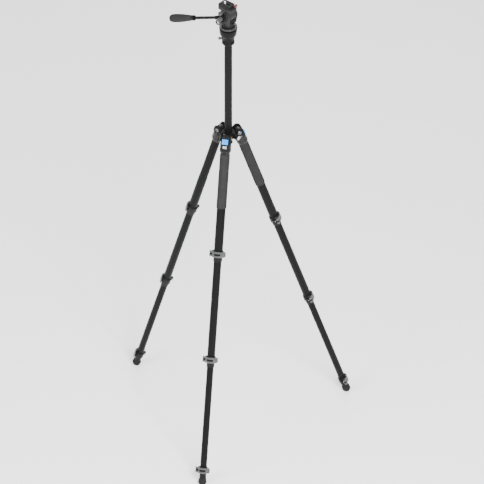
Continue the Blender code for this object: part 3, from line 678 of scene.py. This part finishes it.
def make_tubes(name, place):
    """Four smooth sections, each with an eased end."""
    first, second, third, fourth = TUBE_RADII
    bore = second + GAP
    end = LOCK_HEIGHTS[0] + COLLAR_STEP + GAP
    profile = [(first, end), (first, NECK_START), (NECKED_RADIUS, NECK_START + 0.0004),
               (NECKED_RADIUS, UPPER_TUBE_TOP), (bore, UPPER_TUBE_TOP), (bore, end)]
    show(turned(eased(profile, 0.0002)), name + "_upper_tube", "tube", place)
    spans = (("_middle_tube", second, third, 0, 1), ("_lower_tube", third, fourth, 1, 2))
    for suffix, outer, inner, above, below in spans:
        end = LOCK_HEIGHTS[below] + COLLAR_STEP + GAP
        top = LOCK_HEIGHTS[above] + TUBE_INSERT
        pipe_piece(name + suffix, outer, inner + GAP, end, top, place)
    top = BOTTOM_TUBE_END + BOTTOM_TUBE_LENGTH
    pipe_piece(name + "_bottom_tube", fourth, fourth - TUBE_WALL, BOTTOM_TUBE_END, top, place)


def pipe_piece(node, outer, inner, low, high, place):
    """Plain tube along its frame's Z axis."""
    profile = [(outer, low), (outer, high), (inner, high), (inner, low)]
    show(turned(eased(profile, 0.0002)), node, "tube", place)


def make_collar(name, suffix, upper, lower, place):
    """Clamping collar with its slit, hinge lug, screw boss and pinch screw."""
    wall = upper + COLLAR_WALL
    wide = upper + GAP
    narrow = lower + GAP
    profile = [(upper + 0.0012, COLLAR_TOP), (wall, COLLAR_TOP - 0.0022),
               (wall, COLLAR_SKIRT + 0.0012), (upper + 0.0002, COLLAR_SKIRT),
               (lower + 0.0014, COLLAR_BOTTOM + 0.0020), (lower + 0.0013, COLLAR_BOTTOM),
               (narrow, COLLAR_BOTTOM),
               (narrow, COLLAR_STEP), (wide, COLLAR_STEP), (wide, COLLAR_TOP)]
    shell = turned(eased(profile, 0.0005))
    slit = block((lower, -0.0005, COLLAR_SKIRT + 0.001),
                 (upper + 0.010, 0.0005, COLLAR_TOP + 0.01))
    cut(shell, around(slit, SLIT_ANGLE))
    root = upper + 0.0014
    pin = polar(upper + PIN_OFFSET, PIN_ANGLE)
    outline = [polar(root, PIN_ANGLE + 12), polar(root, PIN_ANGLE - 12)]
    outline += arc(pin, LUG_RADIUS, PIN_ANGLE - 90, PIN_ANGLE + 90, 16)
    lug = prism(outline, -LUG_HALF_HEIGHT, LUG_HALF_HEIGHT)
    cut(lug, rod(PIN_RADIUS + 0.0001, -0.02, 0.02, centre=(*pin, 0), ease=0.0001))
    boss = block((root, -BOSS_HALF_WIDTH, -BOSS_HALF_HEIGHT),
                 (upper + BOSS_REACH, BOSS_HALF_WIDTH, BOSS_HALF_HEIGHT))
    boss = around(bevelled(boss, 0.0009, 4), BOSS_ANGLE)
    node = name + "_lock_collar" + suffix
    show(merged(shell, bevelled(lug, 0.0003, 2), boss), node, "sleeve", place)
    middle = upper + BOSS_REACH - 0.0034
    end = BOSS_HALF_WIDTH + 0.0010
    screw = rod(0.0022, -end, end, ALONG_Y, (middle, 0, 0))
    socket = hexagon(0.0012, (middle, 0.0))
    cut(screw, prism(socket, -BOSS_HALF_WIDTH - 0.002, -BOSS_HALF_WIDTH + 0.0002, upright=True))
    around(screw, BOSS_ANGLE)
    trim(screw, name + "_pinch_screw" + suffix, node, "steel", place)


def lever_outline(upper):
    """Outline of a lever round the tube, from its hinge to its finger tab."""
    pin = polar(upper + PIN_OFFSET, PIN_ANGLE)
    tab = ((0.0066, 61), (0.0078, 65), (0.0092, 69), (0.0102, 73), (0.0107, 76.5), (0.0105, 79.4),
           (0.0095, 80.2), (0.0082, 79.6), (0.0065, 77.5), (0.0050, 73.5), (0.0040, 69))
    outline = arc((0, 0), upper + BAND_OUTER, -50, 57, 36)
    outline += [polar(upper + reach, degrees) for reach, degrees in tab]
    outline += arc((0, 0), upper + BAND_INNER, 66, -58, 36)
    outline += arc(pin, LOBE_RADIUS, PIN_ANGLE + 211, PIN_ANGLE + 391, 20)
    return outline


def tab_corners(upper):
    """Cutters that round the finger tab's two outer corners."""
    edge = polar(upper + TAB_TIP, 79)[1]
    reach = 0.0048
    cutters = []
    for side in (-1, 1):
        middle = (edge - reach, side * (BAND_TOP - reach))
        beyond = side * (BAND_TOP + 0.004)
        outline = arc(middle, reach, 0, side * 90, 10)
        outline += [(edge - reach, beyond), (edge + 0.004, beyond), (edge + 0.004, middle[1])]
        cutters.append(sideways(prism(outline, -0.004, 0.050)))
    return cutters


def tab_dimple(upper):
    """Cutter for the shallow oval in the finger tab's outer face."""
    inner = Vector((*polar(upper + 0.0078, 65), 0))
    outer = Vector((*polar(upper + 0.0102, 73), 0))
    across = (outer - inner).normalized()
    oval = prism(rounded_outline(0.0019, 0.0046, 0.0018, 8), -0.0006, 0.0100)
    return moved(oval, axes_matrix(across, UP, across.cross(UP), (inner + outer) / 2))


def sideways(work):
    """Turn a shape drawn in X and Y so that it stands in Y and Z instead."""
    return moved(work, Matrix(((0, 0, 1, 0), (1, 0, 0, 0), (0, 1, 0, 0), (0, 0, 0, 1))))


def make_lever(name, suffix, upper, place):
    """Band lever with a window, a dimple in its finger tab and a steel hinge pin."""
    work = prism(lever_outline(upper), -BAND_TOP, BAND_TOP)
    window = prism(rounded_outline(WINDOW_HALF_WIDTH, SLOT_HALF_HEIGHT, 0.0014, 5), 0.004, 0.050)
    sideways(window)
    notch = block((-0.040, -0.060, -SLOT_HALF_HEIGHT),
                  (0.050, -upper - NOTCH_OFFSET, SLOT_HALF_HEIGHT))
    cut(work, window, notch, *tab_corners(upper), tab_dimple(upper))
    bevelled(work, 0.0005)
    node = name + "_lock_lever" + suffix
    show(work, node, "lever", place)
    pin = polar(upper + PIN_OFFSET, PIN_ANGLE)
    face = BAND_TOP + 0.0004
    rim = BAND_TOP - 0.0004
    profile = [(0, -face), (0.0027, -face), (0.0031, -rim), (PIN_RADIUS, -rim), (PIN_RADIUS, rim),
               (0.0031, rim), (0.0027, face), (0.0011, face), (0.0008, rim), (0, rim)]
    steel = turned(profile, SMALL, centre=(*pin, 0))
    trim(steel, name + "_hinge_pin" + suffix, node, "steel", place)


def make_foot(name, place):
    """Rubber foot with three shallow grooves and a flat on the floor."""
    centre_height = sqrt(FOOT_RADIUS ** 2 - FOOT_FLAT_RADIUS ** 2)
    centre = -(PIVOT_HEIGHT - centre_height) / cos(SPLAY)
    bore = TUBE_RADII[3] + GAP
    profile = [(bore, FOOT_TOP), (0.0096, FOOT_TOP), (0.0096, -1.0014), (0.0091, -1.0018),
               (0.0091, -1.0024), (0.0098, -1.0028), (0.0110, centre + 0.0073)]
    for index in range(18):
        groove = 0.0004 if index in (2, 5, 8) else 0.0
        radius, rise = polar(FOOT_RADIUS - groove, 25 - index * 6.6)
        profile.append((radius, centre + rise))
    seat = BOTTOM_TUBE_END - GAP
    profile += [(0, centre - FOOT_RADIUS), (0, seat), (bore, seat)]
    work = turned(eased(profile, 0.0003, 2))
    mesh_data = bmesh.new()
    mesh_data.from_mesh(work.data)
    floor_normal = (place.inverted().to_3x3() @ UP).normalized()
    floor_point = place.inverted() @ Vector((0, 0, 0))
    everything = mesh_data.verts[:] + mesh_data.edges[:] + mesh_data.faces[:]
    result = bmesh.ops.bisect_plane(mesh_data, geom=everything, plane_co=floor_point,
                                    plane_no=floor_normal, clear_inner=True)
    rim = [item for item in result["geom_cut"] if isinstance(item, bmesh.types.BMEdge)]
    bmesh.ops.contextual_create(mesh_data, geom=rim)
    mesh_data.to_mesh(work.data)
    mesh_data.free()
    show(work, name + "_rubber_foot", "rubber", place)


# ------------------------------------------------------------------------ column
def make_column():
    """Centre column, its stop cap and the collar on top of it."""
    low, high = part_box("centre_column")
    pipe_piece("centre_column", COLUMN_RADIUS, COLUMN_BORE_RADIUS, low[2], high[2], STAND)
    floor = low[2] - GAP
    profile = [(0, floor - 0.0050), (0.0105, floor - 0.0050), (0.0126, floor - 0.0030),
               (0.0126, floor), (0.0092, floor), (0.0092, floor + 0.0120), (0, floor + 0.0120)]
    show(turned(eased(profile, 0.0006)), "column_stop_cap", "plastic", STAND)
    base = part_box("column_top_collar")[0][2]
    bore = COLUMN_RADIUS + GAP
    profile = [(bore, base), (0.0132, base), (0.0170, base + 0.0026), (0.0180, base + 0.0045),
               (0.0180, base + 0.0062), (0.0175, base + 0.0066), (0.0175, base + 0.0072),
               (0.0180, base + 0.0076), (0.0180, base + 0.0105), (0.0164, HEAD_SEAT),
               (0, HEAD_SEAT), (0, high[2] + GAP), (bore, high[2] + GAP)]
    show(turned(eased(profile, 0.0004)), "column_top_collar", "cast", STAND)


# -------------------------------------------------------------------------- head
def make_head_base():
    """Bowl that carries the pan ring, with a boss for the pan lock."""
    seat = HEAD_SEAT + GAP
    profile = [(0, seat), (0.0162, seat), (0.0169, 1.2866), (0.0178, 1.2900), (0.0182, 1.2946),
               (0.0192, 1.2964), (0.0212, 1.2990), (0.0228, 1.3020), (0.0238, 1.3060),
               (0.0244, 1.3110), (0.0248, 1.3160), (0.0250, 1.3200), (0.0250, BOWL_TOP),
               (0, BOWL_TOP)]
    work = turned(eased(profile, 0.0008), FINE)
    profile = [(0.0024, 0.0120), (0.0038, 0.0120), (0.0038, 0.0185), (0.0024, 0.0185)]
    boss = turned(eased(profile, 0.0004), SMALL, PAN_LOCK_AXIS, PAN_LOCK_PLACE)
    show(merged(work, boss), "head_base", "cast", HEAD)


def make_pan_ring():
    """Black grip ring, its black deepened as painted shade of the gap under the flange, and the
    grey ring above it with its ticks.
    """
    rim = prism(knurled(FLANGE_RADIUS, 0.0004, 240), 1.3206, 1.3262)
    # the grip ring's near-black is partly its own black and partly painted shade of the gap under
    # the flange
    trim(rim, "pan_grip_ring", "head_base", "band", HEAD)
    profile = [(0.0180, 1.3263), (FLANGE_RADIUS, 1.3263), (FLANGE_RADIUS, 1.3286),
               (FLANGE_RADIUS - 0.0013, FLANGE_TOP), (0.0180, FLANGE_TOP)]
    trim(turned(eased(profile, 0.0004), FINE), "pan_ring", "head_base", "ring", HEAD)
    ticks = []
    for index in range(36):
        reach = 0.0216 if index % 3 == 0 else 0.0226
        tick = block((reach, -0.00012, FLANGE_TOP - 0.0003),
                     (0.0240, 0.00012, FLANGE_TOP + 0.00003))
        ticks.append(around(tick, 10 * index))
    trim(merged(*ticks), "pan_ring_ticks", "head_base", "tick", HEAD)


def make_pan_lock():
    """Screw with a round tip."""
    profile = [(0, 0.0138), (0.0021, 0.0138), (0.0021, 0.0188), (0.0030, 0.0188),
               (0.0030, 0.0212), (0.0042, 0.0222), (0.0046, 0.0248), (0.0036, 0.0278), (0, 0.0284)]
    screw = turned(eased(profile, 0.0010), SMALL, PAN_LOCK_AXIS, PAN_LOCK_PLACE)
    show(screw, "pan_lock_lever", "knob", HEAD)


def make_pan_body():
    """Turntable and the two arms of the yoke."""
    seat = FLANGE_TOP + GAP
    profile = [(0, seat), (0.0185, seat), (0.0185, 1.3370), (0.0180, 1.3374), (0.0180, 1.3380),
               (0.0185, 1.3384), (0.0185, 1.3430), (0.0172, 1.3452), (0, 1.3452)]
    disc = turned(eased(profile, 0.0004), FINE)
    trim(disc, "turntable", "pan_body", "plastic", HEAD)
    shells = [bevelled(block((-0.0140, -0.0150, 1.3402), (0.0140, 0.0150, 1.3475)), 0.0010)]
    arms = ((-YOKE_OUTER, -YOKE_INNER, 0.0182, 0.0093), (YOKE_INNER, YOKE_OUTER, 0.0208, 0.0063))
    for low, high, radius, bore in arms:
        outline = [(-0.0150, 1.3400), (0.0150, 1.3400)]
        outline += arc((0, TILT_HEIGHT), radius, -12, 192, 48)
        arm = prism(outline, low, high, upright=True)
        cut(arm, rod(bore, -0.03, 0.03, ALONG_Y, (0, 0, TILT_HEIGHT), ROUND))
        shells.append(bevelled(arm, 0.0009))
    show(merged(*shells), "pan_body", "body", HEAD)
    low, high = YOKE_OUTER - 0.0008, YOKE_OUTER + 0.0014
    profile = [(0, low), (0.0105, low), (0.0105, high - 0.0008), (0.0090, high), (0, high)]
    cap = turned(eased(profile, 0.0004), ROUND, ALONG_Y, (0, 0, TILT_HEIGHT))
    trim(cap, "tilt_drag_cap", "pan_body", "plastic", HEAD)


def make_tilt_body():
    """Tilt drum with its rosette, and the clamp for the plate."""
    centre = (0, 0, TILT_HEIGHT)
    face = -YOKE_OUTER - GAP
    waist = DRUM_RADIUS - 0.0006
    profile = [(0.0033, -0.0120), (0.0033, ROSETTE_FACE), (ROSETTE_RADIUS, ROSETTE_FACE),
               (ROSETTE_RADIUS, face), (0.0090, face), (0.0090, -0.0122), (DRUM_RADIUS, -0.0122),
               (DRUM_RADIUS, -0.0048), (waist, -0.0044), (waist, 0.0044), (DRUM_RADIUS, 0.0048),
               (DRUM_RADIUS, 0.0122), (0.0060, 0.0122), (0.0060, 0.0160), (0, 0.0160), (0, -0.0120)]
    drum = turned(eased(profile, 0.0005), FINE, ALONG_Y, centre)
    neck = bevelled(block((-0.0120, -0.0120, 1.3800), (0.0120, 0.0105, 1.3905)), 0.0008)
    middle = ((CLAMP_FRONT + CLAMP_BACK) / 2, CLAMP_CENTRE)
    outline = rounded_outline((CLAMP_FRONT - CLAMP_BACK) / 2, CLAMP_HALF_WIDTH, 0.0030, 8, middle)
    clamp = prism(outline, CLAMP_BOTTOM, CLAMP_TOP)
    half = CHANNEL_HALF_WIDTH
    channel = block((-0.03, CLAMP_CENTRE - half, CHANNEL_FLOOR),
                    (0.03, CLAMP_CENTRE + half, ABOVE_HEAD))
    knob_bore = rod(0.0026, CLAMP_SIDE - 0.01, CLAMP_SIDE + 0.0050, ALONG_Y, CLAMP_KNOB_PLACE)
    ledge = block((LEDGE_START, 0.0010, LEDGE_TOP), (0.03, 0.02, ABOVE_HEAD))
    button_bore = rod(0.0016, 1.3905, 1.4100, centre=BUTTON_PLACE)
    bevelled(cut(clamp, channel, knob_bore, ledge, button_bore), 0.0005)
    show(merged(clamp, drum, neck), "tilt_body", "body", HEAD)


def make_rosette_teeth():
    """Radial teeth on the drum's face, where the handle grips it."""
    teeth = []
    for index in range(40):
        tooth = block((0.0088, -0.0003, -0.0002), (ROSETTE_RADIUS - 0.0004, 0.0003, 0.0002))
        moved(tooth, Matrix.Rotation(radians(9 * index), 4, "Z"))
        moved(tooth, Matrix.Rotation(radians(90), 4, "X"))
        teeth.append(moved(tooth, Matrix.Translation((0, ROSETTE_FACE, TILT_HEIGHT))))
    trim(merged(*teeth), "rosette_teeth", "tilt_body", "knob", HEAD)


def make_button():
    """Round-cornered release button on its stem."""
    outline = rounded_outline(0.0037, 0.0052, 0.0014, 6, (0.0214, 0.0066))
    cap = bevelled(prism(outline, LEDGE_TOP + 0.0023, 1.4058), 0.0005)
    stem = rod(0.0013, 1.3930, 1.4010, centre=BUTTON_PLACE)
    show(merged(cap, stem), "release_button", "red", HEAD)


def make_plate():
    """Slotted plate with a tongue in the clamp and ribbed pads on top."""
    middle = (PLATE_MIDDLE, CLAMP_CENTRE)
    plate = prism(rounded_outline(PLATE_HALF_LENGTH, PLATE_HALF_WIDTH, 0.0030, 10, middle),
                  PLATE_BOTTOM, PLATE_TOP - 0.0003)
    foot = CHANNEL_HALF_WIDTH - GAP
    reach = PLATE_HALF_LENGTH - 0.0004
    tongue = block((PLATE_MIDDLE - reach, CLAMP_CENTRE - foot, CHANNEL_FLOOR + GAP),
                   (PLATE_MIDDLE + reach, CLAMP_CENTRE + foot, PLATE_BOTTOM + 0.0004))
    place = (SLOT_MIDDLE, CLAMP_CENTRE)
    for work in (plate, tongue):
        cut(work, prism(rounded_outline(0.0135, 0.0034, 0.0033, 8, place), 1.39, ABOVE_HEAD))
        cut(work, prism(rounded_outline(0.0150, 0.0068, 0.0040, 8, place), 1.39, 1.4010))
    bevelled(plate, 0.0005)
    show(merged(plate, bevelled(tongue, 0.0003, 2)), "quick_release_plate", "plate", HEAD)
    pads = []
    for side in (-1, 1):
        for line in range(4):
            y = CLAMP_CENTRE + side * (0.0062 + 0.0023 * line)
            strip = prism(rounded_outline(0.0158, 0.00075, 0.0006, 4, (PLATE_MIDDLE, y)),
                          PLATE_TOP - 0.0008, PLATE_TOP)
            pads.append(bevelled(strip, 0.0002, 2))
    trim(merged(*pads), "plate_pads", "quick_release_plate", "rubber", HEAD)


def make_camera_screw():
    """Flange and a stub ringed like a thread."""
    profile = [(0, 1.3965), (0.0062, 1.3965), (0.0062, 1.4005), (0.0030, 1.4005)]
    height = 1.4010
    while height < 1.4098:
        profile += [(0.0030, height), (0.0026, height + 0.00035)]
        height += 0.0007
    profile += [(0.0029, height), (0.0024, 1.4106), (0, 1.4106)]
    screw = turned(profile, SMALL, centre=(SCREW_PLACE, CLAMP_CENTRE, 0))
    show(screw, "camera_screw", "steel", HEAD)


def make_clamp_knob():
    """Knurled knob on the clamp's screw."""
    side = CLAMP_SIDE
    profile = [(0, side + 0.0046), (0.0023, side + 0.0046), (0.0023, side - 0.0105),
               (0.0050, side - 0.0108), (0.0052, side - 0.0125), (0.0052, side - 0.0195),
               (0.0050, side - 0.0212), (0.0020, side - 0.0214), (0.0020, side - 0.0236),
               (0, side - 0.0236)]
    core = turned(eased(profile, 0.0005), SMALL, ALONG_Y, CLAMP_KNOB_PLACE)
    ribs = knurled(0.0060, 0.0004, 72, (CLAMP_KNOB_X, CLAMP_KNOB_PLACE[2]))
    knurl = bevelled(prism(ribs, side - 0.0195, side - 0.0122, upright=True), 0.0002, 2)
    show(merged(core, knurl), "clamp_knob", "knob", HEAD)


def make_handle_rod():
    """Disc that meets the rosette, and the rod of the pan handle."""
    near = -ROSETTE_FACE + GAP
    rim, groove = ROSETTE_RADIUS, ROSETTE_RADIUS - 0.0004
    profile = [(0.0033, near), (rim, near), (rim, near + 0.0034), (groove, near + 0.0038),
               (groove, near + 0.0044), (rim, near + 0.0048), (rim, DISC_FACE), (0.0033, DISC_FACE)]
    disc = turned(eased(profile, 0.0005), FINE, ALONG_Y)
    profile = [(0, 0.0100), (0.0056, 0.0100), (0.0056, 0.0220), (ROD_RADIUS, 0.0265),
               (ROD_RADIUS, ROD_END), (0, ROD_END)]
    bar = turned(eased(profile, 0.0006), SMALL, ALONG_X, HANDLE_AXIS)
    show(merged(disc, bar), "handle_rod", "cast", HANDLE)


def make_handle_grip():
    """Padded grip of the pan handle, and the ferrule at its near end."""
    bore = ROD_RADIUS + GAP
    end = GRIP_START + 0.0080
    profile = [(bore, GRIP_START), (0.0076, GRIP_START), (0.0078, GRIP_START + 0.0010),
               (0.0078, end - 0.0005), (0.0074, end), (bore, end)]
    ferrule = turned(eased(profile, 0.0004), ROUND, ALONG_X, HANDLE_AXIS)
    trim(ferrule, "grip_ferrule", "handle_grip", "plastic", HANDLE)
    start = GRIP_START + 0.0082
    stations = [(0.0074, start), (0.0083, 0.1255), (0.0095, 0.1375), (0.0106, 0.1480),
                (0.0113, 0.1580), (0.0118, 0.1690), (0.0120, 0.1800), (0.0119, 0.1885),
                (0.0115, 0.1950), (0.0106, 0.1995), (0.0090, 0.2025), (0.0060, 0.2040),
                (0, GRIP_END)]
    profile = [(bore, start), *stations, (0, ROD_END + GAP), (bore, ROD_END + GAP)]
    work = turned(eased(profile, 0.0030, 3), ROUND, ALONG_X, HANDLE_AXIS)
    grip = show(work, "handle_grip", "foam", HANDLE)


def make_wing_screw():
    """Screw with a flat wing that has an eyelet."""
    face = DISC_FACE + GAP
    profile = [(0, 0.0125), (0.0030, 0.0125), (0.0030, face), (0.0065, face),
               (0.0065, face + 0.0020), (0.0060, face + 0.0024), (0.0060, face + 0.0030),
               (0.0065, face + 0.0034), (0.0065, face + 0.0060), (0.0050, face + 0.0075),
               (0, face + 0.0075)]
    hub = turned(eased(profile, 0.0005), 48, ALONG_Y)
    outline = arc((0, 0), 0.0062, 15, 165, 24) + arc((0.0, -0.0111), 0.0080, 190, 350, 32)
    wing = prism(outline, face + 0.0055, face + 0.0105, upright=True)
    cut(wing, rod(0.0045, face, face + 0.020, ALONG_Y, (0, 0, -0.0120), ease=0.0001))
    moved(bevelled(wing, 0.0007), Matrix.Rotation(WING_TURN, 4, "Y"))
    show(merged(hub, wing), "handle_wing_screw", "knob", HANDLE)


# ------------------------------------------------------------------------- stage
def make_stage():
    """Pale floor, plain white surroundings and three soft lights."""
    bpy.ops.mesh.primitive_plane_add(size=FLOOR_SIZE, location=(0, 0, FLOOR_HEIGHT))
    floor = bpy.context.object
    floor.name = "floor"
    material = look("floor_pale", (0.93, 0.93, 0.935), 0.85, 0.0, 40, 0.02, mottle=0.01)
    floor.data.materials.append(material)
    keep_own_place(floor.data)
    world = bpy.data.worlds.new("studio")
    world.use_nodes = True
    background = world.node_tree.nodes["Background"]
    background.inputs["Color"].default_value = (1, 1, 1, 1)
    background.inputs["Strength"].default_value = WORLD_STRENGTH
    bpy.context.scene.world = world
    for name, place, size, power in LIGHTS:
        soft_light(name, place, size, power)


def soft_light(name, place, size, power):
    """Square area light that looks at the middle of the tripod."""
    data = bpy.data.lights.new(name, "AREA")
    data.size = size
    data.energy = power
    light = bpy.data.objects.new(name, data)
    light.location = place
    towards = Vector(LIGHTS_AIM) - light.location
    light.rotation_euler = towards.to_track_quat("-Z", "Y").to_euler()
    bpy.context.collection.objects.link(light)


def make_camera():
    """Distant camera with a long lens, which keeps upright lines nearly parallel."""
    azimuth, elevation = VIEW_AZIMUTH, VIEW_ELEVATION
    right = Vector((cos(azimuth), sin(azimuth), 0))
    back = Vector((sin(azimuth) * cos(elevation), -cos(azimuth) * cos(elevation), sin(elevation)))
    above = back.cross(right)
    target = COLUMN_AXIS + Vector((0, 0, VIEW_HEIGHT)) + right * VIEW_RIGHT - above * VIEW_DOWN
    data = bpy.data.cameras.new("camera")
    data.lens = LENS
    data.sensor_width = SENSOR
    distance = VIEW_WIDTH * data.lens / data.sensor_width
    data.clip_start = CLIP_START
    data.clip_end = CLIP_END
    camera = bpy.data.objects.new("camera", data)
    camera.matrix_world = axes_matrix(right, above, back, target + back * distance)
    bpy.context.collection.objects.link(camera)
    bpy.context.scene.camera = camera


make_camera()
make_spider()
make_column_knob()
for leg in LEGS:
    make_leg(leg)
make_column()
make_head_base()
make_pan_ring()
make_pan_lock()
make_pan_body()
make_tilt_body()
make_rosette_teeth()
make_button()
make_plate()
make_camera_screw()
make_clamp_knob()
make_handle_rod()
make_handle_grip()
make_wing_screw()
make_stage()
